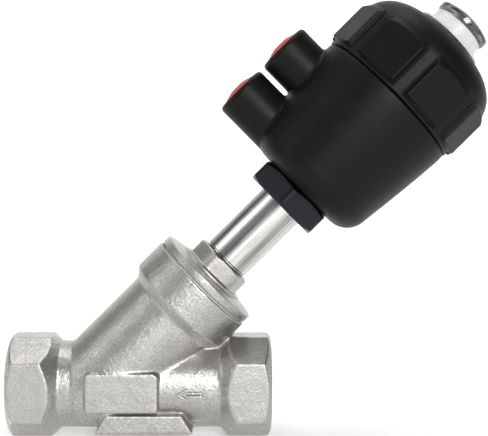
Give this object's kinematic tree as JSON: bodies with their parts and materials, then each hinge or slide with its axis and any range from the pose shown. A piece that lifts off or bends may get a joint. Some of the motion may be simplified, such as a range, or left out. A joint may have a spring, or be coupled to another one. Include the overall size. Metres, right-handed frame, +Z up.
{
  "type": "pneumatic angle seat valve",
  "caption": "Pneumatic angle seat valve: Y-pattern steel body with threaded ends, slanted stem tube and black piston actuator with side air ports, hexagonal swivel nut and clear indicator dome.",
  "frame": {"origin": "on the pipe axis, halfway between the two threaded end faces", "axes": "+X along the pipe towards the inlet end, under the leaning actuator; +Z up; +Y to the back"},
  "size_m": [0.1907, 0.0676, 0.1748],
  "materials": {
    "cast_steel": "bead-blasted investment casting",
    "machined_steel": "turned and polished",
    "spring_steel": "drawn wire",
    "black_plastic": "satin moulded",
    "nut_plastic": "satin moulded",
    "red_plastic": "moulded",
    "clear_plastic": "clear moulded",
    "white_polymer": "turned",
    "black_rubber": "moulded",
    "anodised_aluminium": "satin anodised",
    "brass": "turned"
  },
  "bodies": {
    "valve": {"valve_body": "cast_steel", "bonnet": "cast_steel", "body_gasket": "white_polymer", "stem_tube": "machined_steel", "guide_bush": "white_polymer", "packing_spring": "spring_steel", "packing_washer": "machined_steel", "packing_ring_1": "white_polymer", "packing_ring_2": "white_polymer", "packing_ring_3": "white_polymer", "packing_ring_4": "white_polymer", "packing_gland": "brass", "gland_nut": "machined_steel"},
    "head": {"swivel_nut": "nut_plastic", "swivel_seal": "black_rubber", "housing": "black_plastic", "rod_seal": "black_rubber", "rod_bush": "white_polymer", "cap": "black_plastic", "cap_seal": "black_rubber", "outer_spring": "spring_steel", "inner_spring": "spring_steel", "spring_seat": "spring_steel", "dome_seal": "black_rubber", "sight_dome": "clear_plastic"},
    "stem": {"stem": "machined_steel", "plug_holder": "machined_steel", "plug_seal": "white_polymer", "seal_retainer": "machined_steel", "plug_screw": "machined_steel", "plug_pin": "machined_steel", "piston": "anodised_aluminium", "piston_seal": "black_rubber", "piston_guide_ring": "white_polymer", "piston_washer": "machined_steel", "piston_nut": "machined_steel", "indicator_rod": "machined_steel", "indicator_button": "red_plastic"},
    "lower_plug": {"lower_port_plug": "red_plastic"},
    "upper_plug": {"upper_port_plug": "red_plastic"}
  },
  "joints": [
    {"name": "head_swivel", "type": "hinge", "parent": "valve", "child": "head", "pos_m": [-0.0166, 0, 0], "axis": [0.7071, 0, 0.7071], "continuous": true},
    {"name": "stem_lift", "type": "slide", "parent": "valve", "child": "stem", "axis": [0.7071, 0, 0.7071], "range_m": [0, 0.01], "stiffness_N_per_m": 8000, "deforming": ["outer_spring", "inner_spring"]},
    {"name": "lower_plug_pull", "type": "slide", "parent": "head", "child": "lower_plug", "axis": [-0.7071, 0, 0.7071], "range_m": [0, 0.02]},
    {"name": "upper_plug_pull", "type": "slide", "parent": "head", "child": "upper_plug", "axis": [-0.7071, 0, 0.7071], "range_m": [0, 0.02]}
  ]
}
